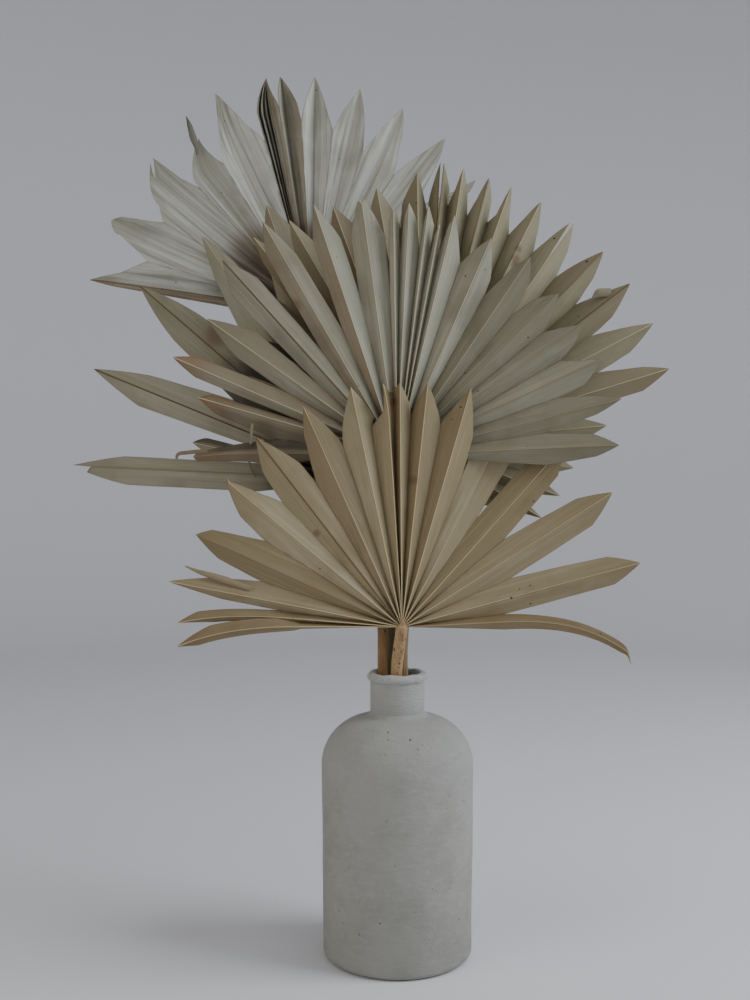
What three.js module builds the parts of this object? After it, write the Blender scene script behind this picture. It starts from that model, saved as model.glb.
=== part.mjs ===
// Dried palm sun: five sun-cut fan palm fronds standing in a chalky bottle vase.
// Millimetres, +Z up. The origin is the centre of the vase's base and the front faces -Y.

import * as THREE from "three";

// Driving dimensions of the vase
const VASE_HEIGHT = 250;
const BODY_RADIUS = 66.8;
const BASE_RADIUS = 65.6;
const HEEL_RADIUS = 6.5;
const SHOULDER_START = 168;
const SHOULDER_TOP = 211;
const SHOULDER_INNER_RADIUS = 24;
const NECK_RADIUS = 23.9;
const NECK_FILLET = 5.5;
const LIP_RADIUS = 26.7;
const LIP_HEIGHT = 7.5;
const MOUTH_RADIUS = 19.9;
const VASE_WALL = 4.5;
const VASE_FLOOR = 7;
const VASE_SIDES = 48;

// Driving dimensions that every frond shares
const LEAF_THICKNESS = 0.7;
const HUB_THICKNESS = 6.5;
const HUB_REACH = 18;
const HUB_RING = 6;
const PLEAT_SLOPE = 0.105;
const FLATTEST_PLEAT = 0.03;
const STEEPEST_PLEAT = 0.062;
const TIP_CUT_SPREAD = 6;
const BLADE_TAPER = 0.24;
const TAPER_POWER = 1.5;
const BEND_POWER = 1.6;
const CUP_REACH = 200;
const TWIST_SPREAD = 5;
const MAX_WALL_RISE = 2.2;
const FUSED_ROWS = [0.4, 0.7, 1];
const FREE_ROWS = [0.25, 0.5, 0.75, 1];
const STEM_SIDES = 10;
const STEM_STEPS = 14;
const STEM_CENTRES = 56;
const SEAT_GAP = 0.35;

const DEGREE = Math.PI / 180;

// One blade of a fan: its angle from the fan's right hand side in degrees, its length, and the
// share of that length at which it parts from the next blade, or where the last blade starts to
// narrow. The form adds a relative width, a sideways droop of the tip in degrees, a bend of the
// tip towards the front in millimetres, a twist in degrees, and the edge it shares with the next
// blade where a fold is lopsided.
function blade(angle, length, split, form = {}) {
  return { angle, length, split, width: 1, droop: 0, bend: 0, twist: 0, ...form };
}

// The fronds, from the front to the back. The hub is the place where the blades of a leaf meet,
// fold is 1 where the ribs stand forward and -1 where the leaf turns its other face to the front,
// lean tips the leaf back in degrees, cup brings its two sides forward in millimetres, cut is
// the length of the two straight cuts at each tip, and edges are the angles of the leaf's two
// outer edges. A stem stands at its foot, passes the neck and any place above it, and ends at
// the hub.
const FRONDS = [
  {
    name: "front",
    seed: 11,
    hub: [3.5, -22, 292],
    fold: 1,
    lean: 0,
    cup: 8,
    cut: 28,
    edges: [-1.5, 181],
    blades: [
      blade(3.2, 197.5, 0.45, { width: 0.46, droop: -12 }),
      blade(15.5, 211, 0.49),
      blade(33, 214, 0.55),
      blade(48, 212, 0.63, { bend: -21 }),
      blade(62, 182, 0.76, { bend: -30 }),
      blade(74, 214, 0.82),
      blade(84, 211, 0.86),
      blade(90.5, 210, 0.72, { width: 0.8, edge: 92.6 }),
      blade(93.6, 210, 0.83, { width: 0.7, droop: 0.9, edge: 98.8 }),
      blade(102, 211, 0.79),
      blade(114, 208, 0.7),
      blade(127.5, 206, 0.76),
      blade(140, 197, 0.72),
      blade(155.5, 194, 0.66),
      blade(168.5, 204, 0.5),
      blade(175.3, 193, 0.46, { width: 0.6, droop: 3.4, bend: -5 }),
      blade(179.3, 192, 0.46, { width: 0.6, droop: 5, bend: 6 }),
    ],
    stem: { foot: [-4, -9], neck: [-1.2, -14.4], over: [], width: 9, top: 10.4 },
    leafColor: 0xb3a68c,
    stemColor: 0xa98963,
  },
  {
    name: "middle",
    seed: 23,
    hub: [-0.5, -5, 441],
    fold: 1,
    lean: -1,
    cup: 4,
    cut: 40,
    edges: [-4, 184],
    blades: [
      blade(2.5, 188, 0.68, { bend: 26 }),
      blade(14, 199, 0.76, { bend: 8 }),
      blade(25, 195, 0.84),
      blade(35, 195, 0.85),
      blade(45, 197, 0.8),
      blade(56, 206, 0.77),
      blade(66.5, 204, 0.86),
      blade(76.5, 212, 0.86, { edge: 78.5 }),
      blade(79.6, 202, 0.8, { width: 0.5, edge: 81.1 }),
      blade(82.8, 216, 0.83, { edge: 83.8 }),
      blade(87.3, 217, 0.78, { edge: 89.35 }),
      blade(90.9, 211, 0.64, { edge: 92.6 }),
      blade(98, 222, 0.64),
      blade(108.5, 227, 0.52, { edge: 113.6 }),
      blade(120, 233, 0.49),
      blade(132, 226, 0.45),
      blade(144.5, 203, 0.55),
      blade(156.5, 212, 0.46),
      blade(164, 180, 0.6, { width: 0.7 }),
      blade(179.5, 193, 0.56, { width: 0.55, droop: 1 }),
    ],
    stem: { foot: [6, -4.5], neck: [5, -3.4], over: [], width: 8.6, top: 8.6 },
    leafColor: 0xaaa491,
    stemColor: 0x8c7355,
  },
  {
    name: "right",
    seed: 37,
    hub: [20, 13, 450],
    fold: 1,
    lean: 2,
    cup: -7,
    cut: 39,
    edges: [-37, 188],
    blades: [
      blade(-31, 127, 0.7, { width: 0.8 }),
      blade(-20, 133, 0.72, { width: 0.8 }),
      blade(-8.5, 139, 0.75, { width: 0.8 }),
      blade(6, 168, 0.7),
      blade(17, 233.5, 0.74),
      blade(27.5, 235, 0.78),
      blade(37.5, 236, 0.8),
      blade(46.5, 237, 0.82),
      blade(55.5, 239, 0.84),
      blade(63.5, 241, 0.85),
      blade(70.5, 243, 0.86),
      blade(75.5, 244, 0.86),
      blade(81, 248, 0.87),
      blade(85.5, 250, 0.86),
      blade(90.5, 241, 0.84),
      blade(99.5, 231, 0.8),
      blade(110, 225, 0.72),
      blade(120.2, 231, 0.7),
      blade(128.7, 236.5, 0.7),
      blade(136.5, 205, 0.68),
      blade(147, 175, 0.64),
      blade(158, 165, 0.6),
      blade(169.5, 160, 0.6),
      blade(181.5, 155, 0.6),
    ],
    stem: { foot: [12, 8], neck: [5.4, 8], over: [], width: 8.4, top: 5.6 },
    leafColor: 0xaca188,
    stemColor: 0x8f7a58,
  },
  {
    name: "left",
    seed: 41,
    hub: [-30, 30, 418.5],
    fold: 1,
    lean: 3.5,
    cup: -10,
    cut: 42,
    edges: [-14, 186],
    blades: [
      blade(-6, 150, 0.6),
      blade(7, 165, 0.62),
      blade(19, 175, 0.64),
      blade(31, 185, 0.68),
      blade(43, 195, 0.72),
      blade(55, 205, 0.76),
      blade(68, 215, 0.8),
      blade(81, 225, 0.8),
      blade(95, 242, 0.76),
      blade(109.5, 266, 0.62),
      blade(123.5, 268, 0.58),
      blade(139, 272, 0.52),
      blade(157.5, 268.5, 0.45),
      blade(167.5, 160, 0.6, { width: 0.5, bend: -6 }),
      blade(177, 266.5, 0.36),
    ],
    stem: { foot: [-4, 6], neck: [-13, -2], over: [[-14, 4, 300]], width: 8.6, top: 8.6 },
    leafColor: 0xa19c89,
    stemColor: 0x84603f,
  },
  {
    name: "top",
    seed: 53,
    hub: [-78, 60, 575],
    fold: -1,
    lean: 4,
    cup: -7,
    cut: 46,
    edges: [-12, 177.5],
    blades: [
      blade(-6, 150, 0.6),
      blade(6, 158, 0.62),
      blade(18, 165, 0.64),
      blade(29, 172, 0.66),
      blade(39.5, 198, 0.68, { width: 0.8 }),
      blade(53, 206, 0.72),
      blade(65.6, 210.5, 0.74, { droop: 0.8, edge: 72.5 }),
      blade(78.2, 216, 0.78, { edge: 83.5 }),
      blade(89.6, 223.5, 0.79, { edge: 93.3 }),
      blade(97.9, 226, 0.84, { edge: 99.2 }),
      blade(101.9, 227, 0.73, { edge: 105.5 }),
      blade(115.4, 225.5, 0.82, { droop: -1.6, edge: 121 }),
      blade(128.5, 196.5, 0.79, { droop: -5.4, edge: 132.3 }),
      blade(139.6, 207.5, 0.78, { edge: 149 }),
      blade(155.2, 208.5, 0.77, { edge: 163 }),
      blade(171.3, 209, 0.36),
    ],
    stem: { foot: [4, 18], neck: [-5.8, 9.6], over: [[-10, 20, 320], [-34, 43, 430]], width: 8.4, top: 8 },
    leafColor: 0xb9b7ae,
    stemColor: 0x6f6748,
  },
];

// A repeatable run of numbers between -1 and 1
function seededSpread(seed) {
  let state = seed;
  return () => {
    state = (state * 16807) % 2147483647;
    return (2 * state) / 2147483647 - 1;
  };
}

// Outline points of a quarter turn about a centre, between two angles in degrees
function arc(centreRadius, centreHeight, radius, height, from, to, steps) {
  return Array.from({ length: steps + 1 }, (_, step) => {
    const angle = (from + ((to - from) * step) / steps) * DEGREE;
    return [centreRadius + radius * Math.cos(angle), centreHeight + height * Math.sin(angle)];
  });
}

// The vase is one thrown shell: a flat base, a rounded heel, a straight body, a domed shoulder,
// a short neck and a rolled lip, with the inside following the outside.
function vaseGeometry() {
  const lipMiddle = VASE_HEIGHT - LIP_HEIGHT / 2;
  const lipFoot = VASE_HEIGHT - LIP_HEIGHT;
  const neckBase = SHOULDER_TOP + NECK_FILLET;
  const shoulderReach = BODY_RADIUS - SHOULDER_INNER_RADIUS;
  const shoulderRise = SHOULDER_TOP - SHOULDER_START;
  const insideRadius = BODY_RADIUS - VASE_WALL;
  const insideShoulderTop = SHOULDER_TOP - VASE_WALL;
  const insideReach = insideRadius - SHOULDER_INNER_RADIUS;
  const outside = [
    [0, 0],
    [BASE_RADIUS - HEEL_RADIUS, 0],
    ...arc(BASE_RADIUS - HEEL_RADIUS, HEEL_RADIUS, HEEL_RADIUS, HEEL_RADIUS, -70, 0, 4),
    [BODY_RADIUS, SHOULDER_START * 0.6],
    ...arc(SHOULDER_INNER_RADIUS, SHOULDER_START, shoulderReach, shoulderRise, 0, 84, 8),
    ...arc(NECK_RADIUS + NECK_FILLET, neckBase, NECK_FILLET, NECK_FILLET, 250, 180, 2),
    [NECK_RADIUS, lipFoot - 1.5],
    ...arc(LIP_RADIUS - 3.2, lipMiddle, 3.2, LIP_HEIGHT / 2, -60, 90, 5),
  ];
  const inside = [
    ...arc(MOUTH_RADIUS + 2, VASE_HEIGHT - 3, 2, 3, 90, 180, 3),
    [MOUTH_RADIUS, insideShoulderTop + NECK_FILLET],
    [MOUTH_RADIUS + 3, insideShoulderTop],
    ...arc(SHOULDER_INNER_RADIUS, SHOULDER_START, insideReach, shoulderRise - VASE_WALL, 78, 0, 5),
    [BASE_RADIUS - VASE_WALL, VASE_FLOOR + HEEL_RADIUS],
    [BASE_RADIUS - HEEL_RADIUS, VASE_FLOOR],
    [0, VASE_FLOOR],
  ];
  const profile = [...outside, ...inside].map(([radius, height]) => new THREE.Vector2(radius, height));
  return new THREE.LatheGeometry(profile, VASE_SIDES).rotateX(Math.PI / 2);
}

// The rays that bound the blades of a fan, and the radius at which each pair of blades parts.
// The last radius is where the outer edge of the last blade leaves its ray.
function fanEdges(frond) {
  const { blades, edges } = frond;
  const angles = [edges[0]];
  const radii = [];
  for (let i = 0; i + 1 < blades.length; i += 1) {
    const here = blades[i];
    const next = blades[i + 1];
    const share = here.width / (here.width + next.width);
    angles.push(here.edge ?? here.angle + (next.angle - here.angle) * share);
    radii.push(here.split * Math.min(here.length, next.length));
  }
  angles.push(edges[1]);
  const end = blades[blades.length - 1];
  return { angles, radii: [radii[0], ...radii, end.split * end.length] };
}

// How high each pleat rises for each millimetre of radius: a blade in a narrow sector is folded
// more steeply, because every blade was equally wide on the living leaf.
function pleatRise(sector) {
  const half = Math.tan((sector / 2) * DEGREE);
  const rise = Math.sqrt(Math.max(PLEAT_SLOPE ** 2 - half ** 2, 0));
  return Math.min(Math.max(rise, FLATTEST_PLEAT), STEEPEST_PLEAT);
}

// A pleated fan as one closed sheet. Points are kept in the fan's own plane, x to the right,
// y up and z to the front, and each has a front and a back face that share their diagonals.
function leafGeometry(frond) {
  const spread = seededSpread(frond.seed);
  const { angles, radii } = fanEdges(frond);
  const rises = frond.blades.map((_, i) => frond.fold * pleatRise(angles[i + 1] - angles[i]));
  const vertices = [];
  const triangles = [];
  const known = new Map();

  const cupAt = (x) => frond.cup * (x / CUP_REACH) ** 2;
  const bendAt = (i, radius) => frond.blades[i].bend * (radius / frond.blades[i].length) ** BEND_POWER;

  // A pair of points, one on each face, kept once under its name
  function pair(name, x, y, z, wall) {
    if (!known.has(name)) {
      const radius = Math.hypot(x, y);
      const swell = (HUB_THICKNESS / 2) * Math.max(0, 1 - radius / HUB_REACH) ** 2;
      const half = (LEAF_THICKNESS / 2) * wall + swell;
      const height = z + cupAt(x);
      known.set(name, vertices.length / 6);
      vertices.push(x, y, height + half, x, y, height - half);
    }
    return known.get(name);
  }

  // Two triangles between neighbouring points of two lines, or one where the lines meet
  function face(points, side) {
    const corners = points.filter((point, i) => point !== points[(i + 1) % points.length]);
    for (let i = 1; i + 1 < corners.length; i += 1) {
      const [a, b, c] = [corners[0], corners[i], corners[i + 1]];
      if (side > 0) {
        triangles.push(2 * a, 2 * b, 2 * c, 2 * a + 1, 2 * c + 1, 2 * b + 1);
      } else {
        triangles.push(2 * a, 2 * c, 2 * b, 2 * a + 1, 2 * b + 1, 2 * c + 1);
      }
    }
  }

  // The cut edge of the sheet, along a line of points
  function rim(line, side) {
    for (let k = 0; k + 1 < line.length; k += 1) {
      const [a, b] = side > 0 ? [line[k], line[k + 1]] : [line[k + 1], line[k]];
      triangles.push(2 * a, 2 * b, 2 * b + 1, 2 * a, 2 * b + 1, 2 * a + 1);
    }
  }

  const last = frond.blades.length - 1;
  const edgeHeight = (j, radius) => {
    const left = Math.max(j - 1, 0);
    const right = Math.min(j, last);
    const fold = (-(rises[left] + rises[right]) / 4) * radius;
    return fold + (bendAt(left, radius) + bendAt(right, radius)) / 2;
  };

  frond.blades.forEach((shape, i) => {
    const direction = shape.angle * DEGREE;
    const ribRadius = (radii[i] + radii[i + 1]) / 2;
    const freeFrom = Math.max(radii[i], radii[i + 1]);
    const twist = (shape.twist + TWIST_SPREAD * spread()) * DEGREE;
    const ribHeight = (along) => (rises[i] / 2) * along + bendAt(i, along);

    // The fan's plane point for a place along and across the blade
    const place = (along, across) => {
      const free = Math.max(0, (along - freeFrom) / (shape.length - freeFrom));
      const turn = direction + shape.droop * DEGREE * free * free;
      return [
        along * Math.cos(turn) - across * Math.sin(turn),
        along * Math.sin(turn) + across * Math.cos(turn),
        across * Math.sin(twist) * free,
      ];
    };

    const sides = [-1, 1].map((side) => {
      const j = side < 0 ? i : i + 1;
      const offset = (angles[j] - shape.angle) * DEGREE;
      const along = radii[j] * Math.cos(offset);
      const across = radii[j] * Math.sin(offset);
      const drop = ribHeight(along) - edgeHeight(j, radii[j]);
      const shoulder = shape.length - frond.cut - TIP_CUT_SPREAD * spread();
      return { side, j, offset, along, across, drop, shoulder };
    });
    const wallOf = (k) => {
      const sector = ((angles[k + 1] - angles[k]) / 2) * DEGREE;
      return Math.min(Math.hypot(1, rises[k] / Math.tan(sector)), MAX_WALL_RISE);
    };
    const wall = wallOf(i);

    const pole = pair("hub", 0, 0, 0, 1);
    const ribRows = [HUB_RING, HUB_REACH, ...FUSED_ROWS.map((share) => share * ribRadius)];
    FREE_ROWS.forEach((share) => {
      ribRows.push(ribRadius + (shape.length - frond.cut - ribRadius) * share);
    });
    const rib = ribRows.map((along, row) => {
      const [x, y, z] = place(along, 0);
      return pair(`rib ${i} ${row}`, x, y, z + ribHeight(along), wall);
    });
    const [tipX, tipY, tipZ] = place(shape.length, 0);
    const tip = pair(`tip ${i}`, tipX, tipY, tipZ + ribHeight(shape.length), wall);
    const ribLine = [pole, ...rib, tip];

    sides.forEach(({ side, j, offset, along, across, drop, shoulder }) => {
      const neighbour = Math.min(Math.max(side < 0 ? i - 1 : i + 1, 0), last);
      const sharedWall = Math.max(wall, wallOf(neighbour));
      const reaches = [HUB_RING, HUB_REACH, ...FUSED_ROWS.map((share) => share * radii[j])];
      const shared = reaches.map((radius, row) => {
        const x = radius * Math.cos(direction + offset);
        const y = radius * Math.sin(direction + offset);
        return pair(`edge ${j} ${row}`, x, y, edgeHeight(j, radius), sharedWall);
      });
      const free = FREE_ROWS.map((share, row) => {
        const onBlade = along + (shoulder - along) * share;
        const narrow = 1 - BLADE_TAPER * share ** TAPER_POWER;
        const [x, y, z] = place(onBlade, across * narrow);
        return pair(`free ${i} ${side} ${row}`, x, y, z + ribHeight(onBlade) - drop * narrow, wall);
      });
      const edgeLine = [pole, ...shared, ...free, tip];
      for (let k = 0; k + 1 < ribLine.length; k += 1) {
        face([ribLine[k], ribLine[k + 1], edgeLine[k + 1], edgeLine[k]], side);
      }
      const isOuter = j === 0 || j === last + 1;
      rim(isOuter ? edgeLine : edgeLine.slice(shared.length), side);
    });
  });

  const geometry = new THREE.BufferGeometry();
  geometry.setAttribute("position", new THREE.Float32BufferAttribute(vertices, 3));
  geometry.setIndex(triangles);
  geometry.computeVertexNormals();
  return geometry;
}

// The petiole below a leaf: an oval stem from the vase's floor, past the neck, to the hub. It is
// a little wider at the hub, and its flat end stops just short of the leaf's lower edges.
function stemGeometry(frond) {
  const { foot, neck, over, width, top } = frond.stem;
  const hub = new THREE.Vector3(...frond.hub);
  const footTilt = Math.hypot(neck[0] - foot[0], neck[1] - foot[1]) / (VASE_HEIGHT - VASE_FLOOR);
  const start = new THREE.Vector3(...foot, VASE_FLOOR + SEAT_GAP + (width / 2) * footTilt);
  const neckPoint = new THREE.Vector3(...neck, VASE_HEIGHT);
  const middle = start.clone().add(neckPoint).multiplyScalar(0.5);
  const places = [start, middle, neckPoint, ...over.map((place) => new THREE.Vector3(...place))];
  const down = places[places.length - 1].clone().sub(hub);
  const lowestEdge = Math.max(-frond.edges[0], frond.edges[1] - 180, 0);
  const tilt = Math.hypot(down.x, down.y) / -down.z;
  const seat = SEAT_GAP + (top / 2) * (Math.tan(lowestEdge * DEGREE) + tilt);
  const end = hub.clone().add(down.setLength(seat));
  const path = new THREE.CatmullRomCurve3([...places, end], false, "centripetal");
  const section = new THREE.Shape().absellipse(0, 0, width / 2, width * 0.44, 0, 2 * Math.PI);
  const geometry = new THREE.ExtrudeGeometry(section, {
    steps: STEM_STEPS,
    curveSegments: STEM_SIDES / 2,
    extrudePath: path,
  });
  const centres = path.getSpacedPoints(STEM_CENTRES);
  const position = geometry.getAttribute("position");
  const vertex = new THREE.Vector3();
  for (let i = 0; i < position.count; i += 1) {
    vertex.fromBufferAttribute(position, i);
    const gaps = centres.map((centre) => centre.distanceToSquared(vertex));
    const nearest = gaps.indexOf(Math.min(...gaps));
    const growth = 1 + (top / width - 1) * (nearest / STEM_CENTRES);
    vertex.sub(centres[nearest]).multiplyScalar(growth).add(centres[nearest]);
    position.setXYZ(i, vertex.x, vertex.y, vertex.z);
  }
  return geometry;
}

function finish(color, roughness) {
  return new THREE.MeshStandardMaterial({ color, roughness, metalness: 0 });
}

const group = new THREE.Group();

const vase = new THREE.Mesh(vaseGeometry(), finish(0xc9c7bf, 0.95));
vase.name = "bottle_vase";
group.add(vase);

for (const frond of FRONDS) {
  const leaf = new THREE.Mesh(leafGeometry(frond), finish(frond.leafColor, 0.7));
  leaf.name = `${frond.name}_leaf`;
  leaf.position.set(...frond.hub);
  leaf.rotation.x = Math.PI / 2 - frond.lean * DEGREE;
  group.add(leaf);

  const stem = new THREE.Mesh(stemGeometry(frond), finish(frond.stemColor, 0.75));
  stem.name = `${frond.name}_stem`;
  group.add(stem);
}

export default group;
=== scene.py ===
import math

import bpy
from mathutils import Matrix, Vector, noise


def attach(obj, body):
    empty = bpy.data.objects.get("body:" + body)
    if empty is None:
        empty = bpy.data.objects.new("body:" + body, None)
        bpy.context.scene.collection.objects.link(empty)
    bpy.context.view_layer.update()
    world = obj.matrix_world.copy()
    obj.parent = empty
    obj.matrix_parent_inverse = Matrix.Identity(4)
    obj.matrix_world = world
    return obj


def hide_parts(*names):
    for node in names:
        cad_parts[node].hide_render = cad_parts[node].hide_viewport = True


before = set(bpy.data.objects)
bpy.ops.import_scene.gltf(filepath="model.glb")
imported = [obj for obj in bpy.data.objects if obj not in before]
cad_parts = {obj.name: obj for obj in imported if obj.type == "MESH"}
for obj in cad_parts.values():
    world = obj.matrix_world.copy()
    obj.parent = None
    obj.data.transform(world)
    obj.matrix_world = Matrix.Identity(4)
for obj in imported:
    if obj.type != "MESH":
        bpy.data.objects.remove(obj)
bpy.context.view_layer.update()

# The stage is a plain pale sweep: a flat floor that turns up into a low round wall.
# The camera stands where the photograph was taken, a little above the vase and level with
# the middle of the fans.
CAMERA_PLACE = (-0.0198, -1.056, 0.427)
CAMERA_TILT_DOWN = math.radians(1.4)
FOCAL_PIXELS = 1200
LONG_SIDE_PIXELS = 1000
SENSOR = 36
FLOOR_DISC_RADIUS = 0.95
FLOOR_RADIUS = 1.9
SWEEP_RADIUS = 0.7
SWEEP_TOP = 2.3
SWEEP_STEPS = 16
SWEEP_SIDES = 96
SWEEP_COLOUR = 0xE9E9EC


def raise_rings(name, sides, count):
    """Raises a filled circle ring by ring. Ring k is at height k, with a radius of 1."""
    bpy.ops.object.select_all(action="DESELECT")
    bpy.ops.mesh.primitive_circle_add(vertices=sides, radius=1, fill_type="NGON")
    piece = bpy.context.object
    piece.name = name
    bpy.ops.object.mode_set(mode="EDIT")
    for _ in range(count - 1):
        bpy.ops.mesh.extrude_region_move(TRANSFORM_OT_translate={"value": (0, 0, 1)})
    bpy.ops.mesh.select_all(action="SELECT")
    bpy.ops.mesh.normals_make_consistent(inside=False)
    bpy.ops.object.mode_set(mode="OBJECT")
    return piece


def shape_rings(piece, place):
    """Moves each point of a raised piece to place(ring, turn)."""
    for vertex in piece.data.vertices:
        turn = math.atan2(vertex.co.y, vertex.co.x)
        vertex.co = place(round(vertex.co.z), turn)
    piece.data.update()


def linear(code):
    """A colour written as 0xRRGGBB, as the light that it reflects."""
    steps = [(code >> shift & 255) / 255 for shift in (16, 8, 0)]
    return [s / 12.92 if s <= 0.04045 else ((s + 0.055) / 1.055) ** 2.4 for s in steps] + [1]


class Wire:
    """A socket of a material that takes part in sums and products."""

    def __init__(self, paint, socket):
        self.paint = paint
        self.socket = socket

    def sum_of(self, operation, *values):
        return self.paint.node("ShaderNodeMath", {"operation": operation}, dict(enumerate(values)))

    def __add__(self, other):
        return self.sum_of("ADD", self, other)

    def __sub__(self, other):
        return self.sum_of("SUBTRACT", self, other)

    def __rsub__(self, other):
        return self.sum_of("SUBTRACT", other, self)

    def __mul__(self, other):
        return self.sum_of("MULTIPLY", self, other)

    def step(self, low, high):
        """0 below low, 1 above high, and a soft ramp in between."""
        settings = {"interpolation_type": "SMOOTHSTEP", "clamp": True}
        return self.paint.node("ShaderNodeMapRange", settings, {0: self, 1: low, 2: high})

    __radd__ = __add__
    __rmul__ = __mul__


class Paint:
    """A material whose nodes are made as they are needed."""

    def __init__(self, name):
        self.material = bpy.data.materials.new(name)
        self.material.use_nodes = True
        self.tree = self.material.node_tree
        self.shader = self.tree.nodes["Principled BSDF"]

    def node(self, kind, settings, inputs, output=0):
        made = self.tree.nodes.new(kind)
        for key, value in settings.items():
            setattr(made, key, value)
        for key, value in inputs.items():
            self.feed(made.inputs[key], value)
        return Wire(self, made.outputs[output])

    def feed(self, socket, value):
        if isinstance(value, Wire):
            self.tree.links.new(value.socket, socket)
        else:
            socket.default_value = linear(value) if socket.type == "RGBA" else value

    def give(self, **inputs):
        for key, value in inputs.items():
            self.feed(self.shader.inputs[key.replace("_", " ")], value)

    def mix(self, share, first, second):
        settings = {"data_type": "RGBA"}
        return self.node("ShaderNodeMix", settings, {0: share, 6: first, 7: second}, 2)

    def coated(self, colour, coats):
        """A colour under coats of others, each written as how much of it shows and its colour."""
        for share, coat in coats:
            colour = self.mix(share, colour, coat)
        return colour

    def vector(self, x, y, z):
        return self.node("ShaderNodeCombineXYZ", {}, {0: x, 1: y, 2: z})

    def part(self, vector, axis):
        return self.node("ShaderNodeSeparateXYZ", {}, {0: vector}, axis)

    def coordinates(self, output):
        return self.node("ShaderNodeTexCoord", {}, {}, output)

    def drawn_out(self, place, rise):
        """A place whose height counts rise times, so that a pattern there lies down or stands up."""
        return self.node("ShaderNodeMapping", {}, {"Vector": place, "Scale": (1, 1, rise)})

    def noise(self, place, scale, detail=2, roughness=0.5):
        inputs = {"Vector": place, "Scale": scale, "Detail": detail, "Roughness": roughness}
        return self.node("ShaderNodeTexNoise", {}, inputs)

    def from_dot(self, place, scale):
        """How far a place is from the nearest of many scattered dots."""
        return self.node("ShaderNodeTexVoronoi", {}, {"Vector": place, "Scale": scale})

    def from_line(self, place, x, z):
        """How far a place is from the line through x and z that runs straight back."""
        parts = self.node("ShaderNodeVectorMath", {"operation": "MULTIPLY"}, {0: place, 1: (1, 0, 1)})
        ends = {0: parts, 1: (x, 0, z)}
        return self.node("ShaderNodeVectorMath", {"operation": "DISTANCE"}, ends, "Value")

    def pits(self, place, marks):
        """How deep a place lies in small round pits, each written as its x, its z and its radius."""
        return sum(1 - self.from_line(place, x, z).step(radius / 2, radius) for x, z, radius in marks)

    def relief(self, *bumps):
        """Bumps laid over one another, each written as its height, its strength and its depth."""
        under = {}
        for height, strength, depth in bumps:
            inputs = {"Height": height, "Strength": strength, "Distance": depth, **under}
            under = {"Normal": self.node("ShaderNodeBump", {}, inputs)}
        return under["Normal"]


lens = bpy.data.cameras.new("camera")
lens.lens = SENSOR * FOCAL_PIXELS / LONG_SIDE_PIXELS
lens.sensor_width = SENSOR
camera = bpy.data.objects.new("camera", lens)
camera.location = CAMERA_PLACE
camera.rotation_euler = (math.pi / 2 - CAMERA_TILT_DOWN, 0, 0)
bpy.context.scene.collection.objects.link(camera)
bpy.context.scene.camera = camera


def place_on_sweep(ring, turn):
    bend = math.pi / 2 * min(max(ring - 1, 0), SWEEP_STEPS) / SWEEP_STEPS
    radius = (FLOOR_RADIUS if ring else FLOOR_DISC_RADIUS) + SWEEP_RADIUS * math.sin(bend)
    height = SWEEP_RADIUS * (1 - math.cos(bend)) if ring < SWEEP_STEPS + 2 else SWEEP_TOP
    return Vector((radius * math.cos(turn), radius * math.sin(turn), height))


sweep = raise_rings("floor_sweep", SWEEP_SIDES, SWEEP_STEPS + 3)
shape_rings(sweep, place_on_sweep)
bpy.ops.object.mode_set(mode="EDIT")
bpy.ops.mesh.select_mode(type="FACE")
bpy.ops.mesh.select_all(action="DESELECT")
bpy.ops.object.mode_set(mode="OBJECT")
for face in sweep.data.polygons:
    face.select = face.center.z > SWEEP_TOP - 0.001
bpy.ops.object.mode_set(mode="EDIT")
bpy.ops.mesh.delete(type="ONLY_FACE")
bpy.ops.mesh.select_all(action="SELECT")
bpy.ops.mesh.flip_normals()
bpy.ops.object.mode_set(mode="OBJECT")
bpy.ops.object.shade_smooth()
sweep_paint = Paint("pale_sweep")
sweep_paint.give(Base_Color=SWEEP_COLOUR, Roughness=0.95)
sweep.data.materials.append(sweep_paint.material)


# The vase is one piece of thrown clay with a chalky white slip brushed over it. Its base is flat,
# the shoulder is domed, and the lip is a roll turned down by hand, so none of it is quite round.
VASE_HEIGHT = 0.250
BODY_RADIUS = 0.0668
BASE_RADIUS = 0.0656
HEEL_RADIUS = 0.0065
SHOULDER_START = 0.168
SHOULDER_TOP = 0.211
SHOULDER_INNER_RADIUS = 0.024
NECK_RADIUS = 0.0239
NECK_FILLET = 0.0055
LIP_RADIUS = 0.0267
LIP_HEIGHT = 0.0075
LIP_ROLL = 0.0032
LIP_SEAT = 0.0008
MOUTH_RADIUS = 0.0199
MOUTH_ROUNDING = 0.002
MOUTH_DROP = 0.003
VASE_WALL = 0.0045
VASE_FLOOR = 0.007
VASE_SIDES = 144
STEADY_FOOT = 0.03
WOBBLE = 0.0005
THROWING_MARK = 0.00022
THROWING_PITCH = 2100
LIP_DROOP = 0.0009
LIP_RIPPLE = 0.0004
SLIP_GREY = 0xA7A69F
SLIP_BLOTCH = 0x9C9B93
SLIP_BRUSHED = 0xB6B6B1
SLIP_GRIT = 0x85837B
SLIP_GRAIN = 0xC4C4C0
SLIP_PAINTED_UPPER_LIGHT = 0xC2C2BE
SLIP_PAINTED_FOOT_SHADE = 0x8F8E86
SLIP_PAINTED_LIP_LIGHT = 0xCDCDC9
SLIP_PIT = 0x4A4842
VASE_PITS = (
    (-0.0088, 0.2051, 0.0008),
    (-0.0088, 0.2004, 0.0007),
    (0.0097, 0.2004, 0.0011),
    (-0.0157, 0.0493, 0.0009),
)


def arc(centre_radius, centre_height, radius, height, start, end, steps):
    """Points of a quarter turn of the vase's outline, between two angles in degrees."""
    angles = [math.radians(start + (end - start) * step / steps) for step in range(steps + 1)]
    return [(centre_radius + radius * math.cos(a), centre_height + height * math.sin(a)) for a in angles]


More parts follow.
